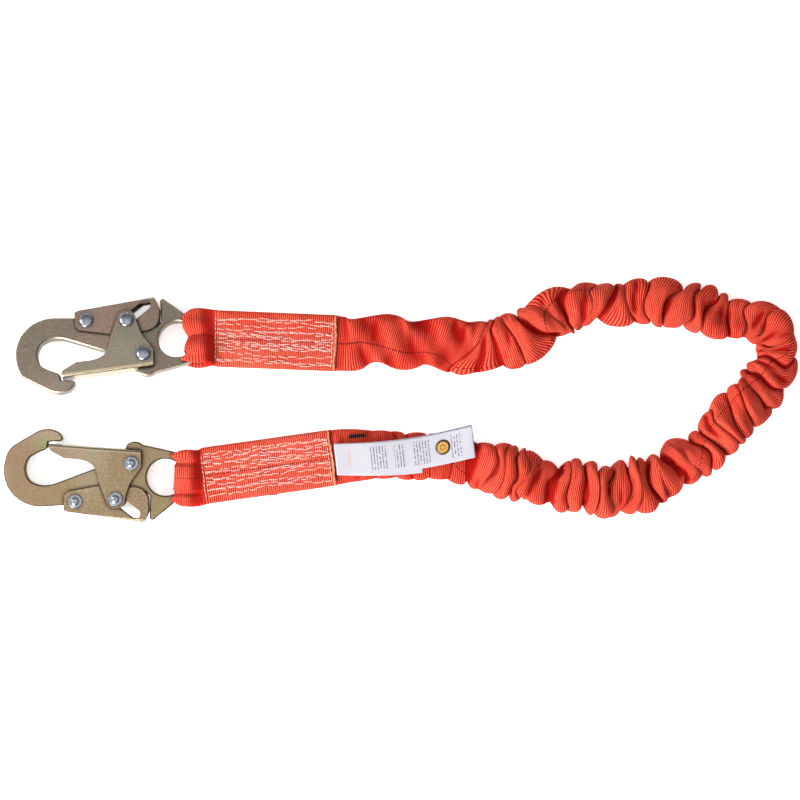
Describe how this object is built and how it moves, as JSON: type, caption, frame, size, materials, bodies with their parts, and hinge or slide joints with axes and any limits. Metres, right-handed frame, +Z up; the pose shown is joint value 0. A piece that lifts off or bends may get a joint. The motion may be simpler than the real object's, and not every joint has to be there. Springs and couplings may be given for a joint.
{
  "type": "shock absorbing lanyard",
  "caption": "Fall-arrest lanyard: a gathered tubular webbing jacket over a tear-out core, with a double-locking snap hook sewn in at each end.",
  "frame": {"origin": "middle of the hooks, sewn ends and label, on the surface that the lanyard lies on", "axes": "+X from the hooks towards the jacket's far bend, +Z up from the surface"},
  "size_m": [0.5793, 0.1793, 0.0269],
  "materials": {
    "zinc_steel": "yellow zinc plated forged and pressed steel",
    "bright_steel": "bright zinc plated rivets",
    "spring_steel": "spring wire and leaf",
    "webbing": "ribbed tubular polyester webbing, red-orange",
    "thread": "white bonded thread",
    "core_webbing": "undyed tear-out core webbing",
    "elastic": "black woven elastic",
    "label_film": "white printed label film",
    "disc_print": "amber ink"
  },
  "bodies": {
    "webbing": {"jacket": "webbing", "shock_core": "core_webbing", "elastic_strap": "elastic", "sewn_end_1": "webbing", "stitching_1": "thread", "sewn_end_2": "webbing", "stitching_2": "thread"},
    "hook_1_frame": {"hook_1_body": "zinc_steel", "hook_1_lever_rivet": "bright_steel", "hook_1_gate_rivet": "bright_steel"},
    "hook_1_gate": {"hook_1_gate": "zinc_steel", "hook_1_lock_pin": "bright_steel", "hook_1_gate_spring": "spring_steel"},
    "hook_1_lever": {"hook_1_lock_lever": "zinc_steel", "hook_1_lever_spring": "spring_steel"},
    "hook_2_frame": {"hook_2_body": "zinc_steel", "hook_2_lever_rivet": "bright_steel", "hook_2_gate_rivet": "bright_steel"},
    "hook_2_gate": {"hook_2_gate": "zinc_steel", "hook_2_lock_pin": "bright_steel", "hook_2_gate_spring": "spring_steel"},
    "hook_2_lever": {"hook_2_lock_lever": "zinc_steel", "hook_2_lever_spring": "spring_steel"},
    "label": {"label_leaf_1": "label_film", "label_leaf_2": "label_film", "label_leaf_3": "label_film", "label_disc": "disc_print"}
  },
  "joints": [
    {"name": "hook_1_swing", "type": "hinge", "parent": "webbing", "child": "hook_1_frame", "pos_m": [-0.02845, 0.05173, 0.0143], "axis": [-0.0964, 0.9655, -0.2419], "range_deg": [-70, 70]},
    {"name": "hook_1_gate_open", "type": "hinge", "parent": "hook_1_frame", "child": "hook_1_gate", "pos_m": [-0.06815, 0.0387, 0.01655], "axis": [0.024, -0.2407, -0.9703], "range_deg": [0, 25], "stiffness_Nm_per_rad": 0.5, "springref_deg": -20.05},
    {"name": "hook_1_lever_press", "type": "hinge", "parent": "hook_1_frame", "child": "hook_1_lever", "pos_m": [-0.11048, 0.06304, 0.00946], "axis": [0.024, -0.2407, -0.9703], "range_deg": [0, 9]},
    {"name": "hook_2_swing", "type": "hinge", "parent": "webbing", "child": "hook_2_frame", "pos_m": [-0.03734, -0.04989, 0.00975], "axis": [0.0401, 0.9992, 0], "range_deg": [-70, 70]},
    {"name": "hook_2_gate_open", "type": "hinge", "parent": "hook_2_frame", "child": "hook_2_gate", "pos_m": [-0.07773, -0.03896, 0.00975], "axis": [0, 0, 1], "range_deg": [0, 25], "stiffness_Nm_per_rad": 0.5, "springref_deg": -20.05},
    {"name": "hook_2_lever_press", "type": "hinge", "parent": "hook_2_frame", "child": "hook_2_lever", "pos_m": [-0.11857, -0.06664, 0.00975], "axis": [0, 0, 1], "range_deg": [0, 9]},
    {"name": "label_lift", "type": "hinge", "parent": "webbing", "child": "label", "pos_m": [0.067, -0.0366, 0.0099], "axis": [0.1097, -0.994, 0], "range_deg": [0, 120]}
  ],
  "couplings": [
    {"joint": "hook_1_lever_press", "follows": "hook_1_gate_open", "ratio": 0.36},
    {"joint": "hook_2_lever_press", "follows": "hook_2_gate_open", "ratio": 0.36}
  ]
}
